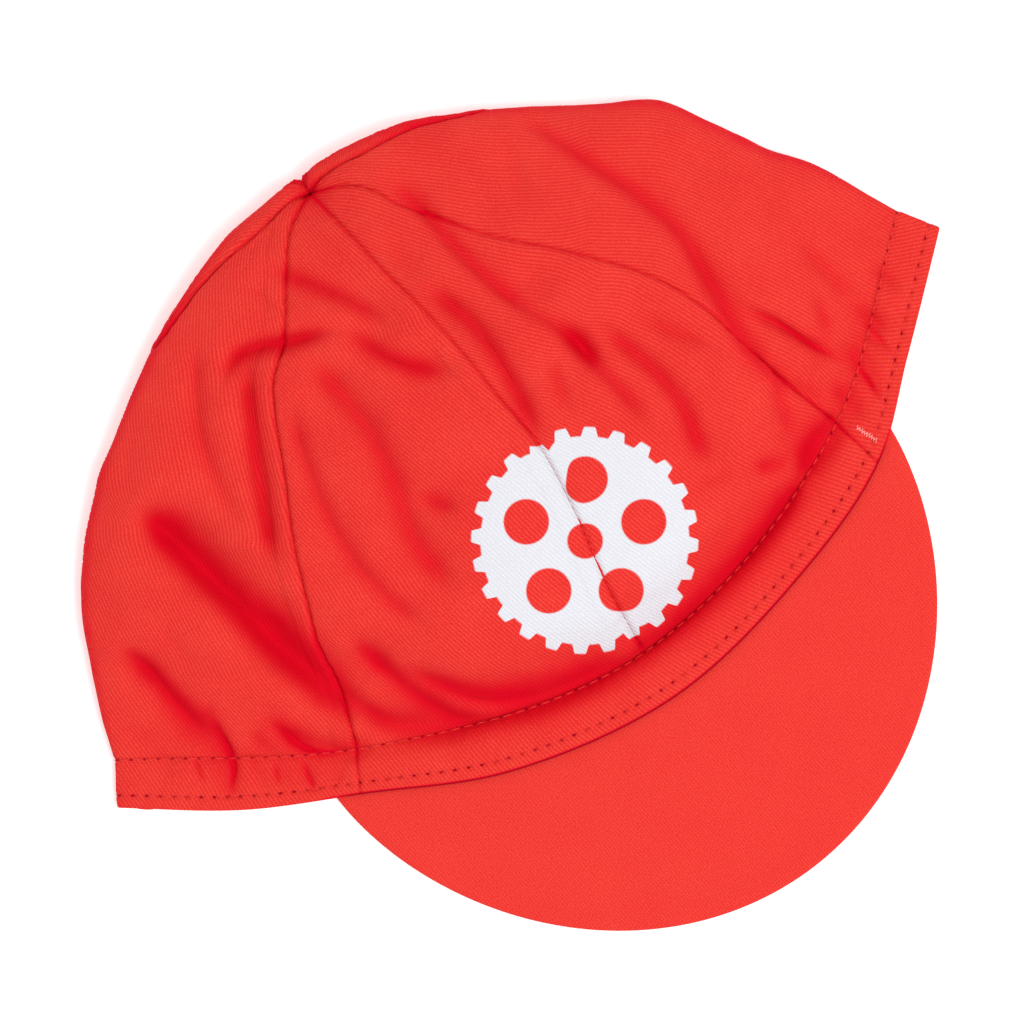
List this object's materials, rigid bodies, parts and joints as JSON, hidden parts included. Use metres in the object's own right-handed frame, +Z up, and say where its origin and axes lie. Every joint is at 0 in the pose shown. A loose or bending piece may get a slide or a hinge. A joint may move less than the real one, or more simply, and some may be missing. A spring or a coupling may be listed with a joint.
{
  "type": "soft cotton cycling cap",
  "caption": "Soft cotton cycling cap lying flat: panelled crown with pressed folds, stitched front band over a short stiff peak, and a gathered casing behind.",
  "frame": {"origin": "on the floor under the middle of the cap's bounding box, as the cap lies", "axes": "+X across the cap from its left folded corner to its right one as seen from above with the peak nearest, +Y from the peak towards the apex, +Z up from the floor"},
  "size_m": [0.2512, 0.2148, 0.0309],
  "materials": {
    "cloth": "soft cotton twill",
    "peak_cloth": "smooth cotton twill over a stiffener"
  },
  "bodies": {
    "root": {"panel_front_left": "cloth", "panel_front_right": "cloth", "panel_side_left": "cloth", "panel_side_right": "cloth", "panel_back_left": "cloth", "panel_back_right": "cloth", "front_band": "cloth", "rear_casing": "cloth", "peak": "peak_cloth"}
  },
  "joints": []
}
